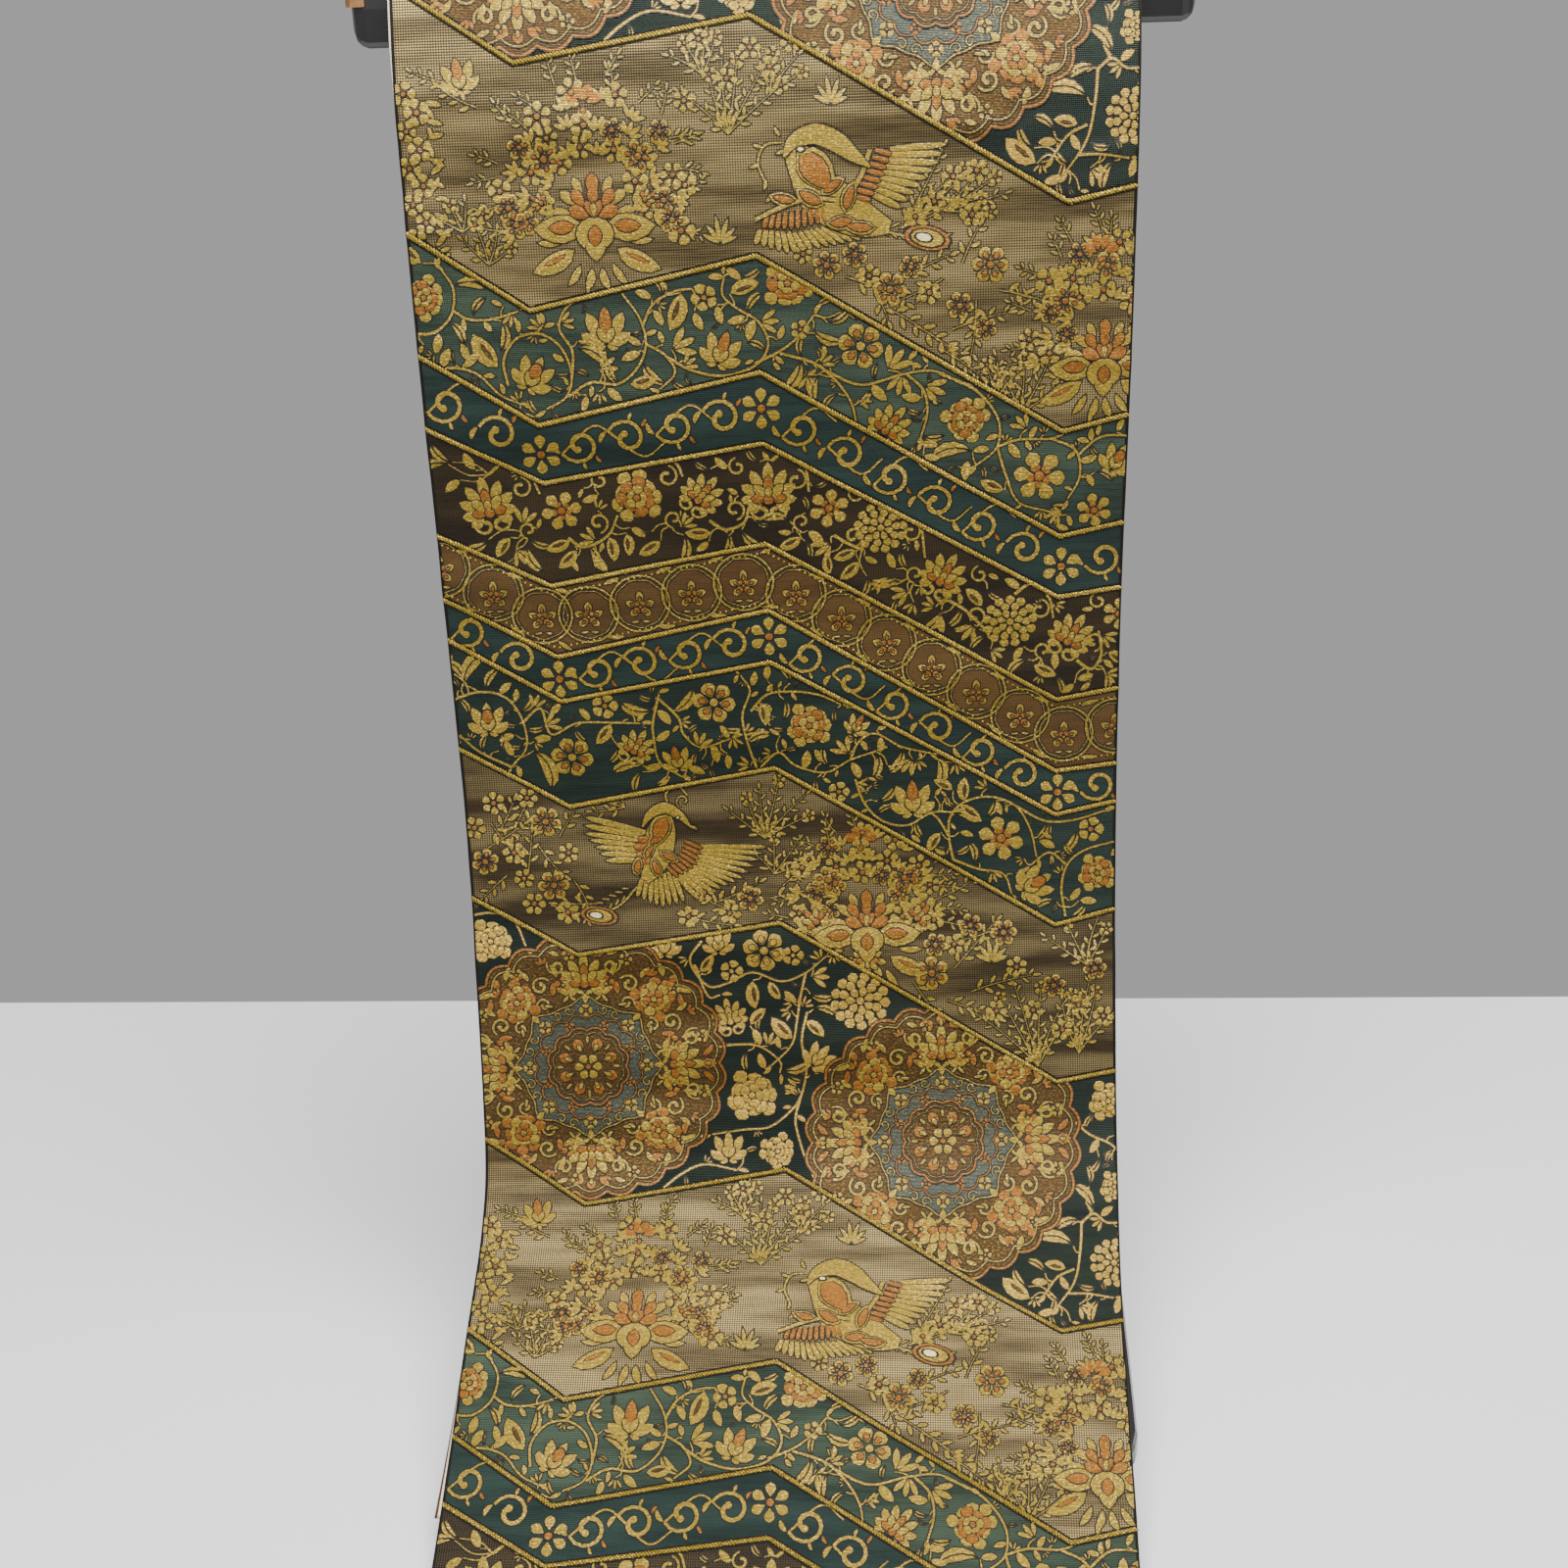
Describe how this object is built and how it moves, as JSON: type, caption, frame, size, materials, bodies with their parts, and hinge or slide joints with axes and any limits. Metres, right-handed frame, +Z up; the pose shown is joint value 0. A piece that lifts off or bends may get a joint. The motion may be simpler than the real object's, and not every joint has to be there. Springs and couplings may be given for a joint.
{
  "type": "obi sash on display stand",
  "caption": "Brocade kimono sash with zigzag bands, folded in three over the rail of a black lacquered stand, its end sweeping out along the table.",
  "frame": {"origin": "bottom centre of the box round the whole object, on the table", "axes": "+Z up, -Y to the front that the sash faces, +X to the right seen from the front, along the rail"},
  "size_m": [0.3576, 0.5182, 0.665],
  "materials": {
    "brocade": "woven brocade in green, bronze and silver-gold grounds with gold and orange figures, satin sheen",
    "lining": "plain cream silk, fine weave, soft sheen",
    "lacquer": "black lacquered wood, smooth semi-gloss",
    "brass": "dull warm brass cap"
  },
  "bodies": {
    "root": {"face_back_hang": "brocade", "face_back_fold": "brocade", "face_saddle": "brocade", "face_front_hang": "brocade", "face_front_bend": "brocade", "face_front_tail": "brocade", "lining_back_hang": "lining", "lining_saddle": "lining", "lining_front_hang": "lining", "lining_front_bend": "lining", "lining_front_tail": "lining", "inner_back": "lining", "inner_saddle": "lining", "inner_front_hang": "lining", "inner_front_bend": "lining", "inner_front_fold": "lining", "rail": "lacquer", "post_left": "lacquer", "post_right": "lacquer", "brace": "lacquer", "foot_left": "lacquer", "foot_right": "lacquer", "cap_left": "brass", "cap_right": "brass"}
  },
  "joints": []
}
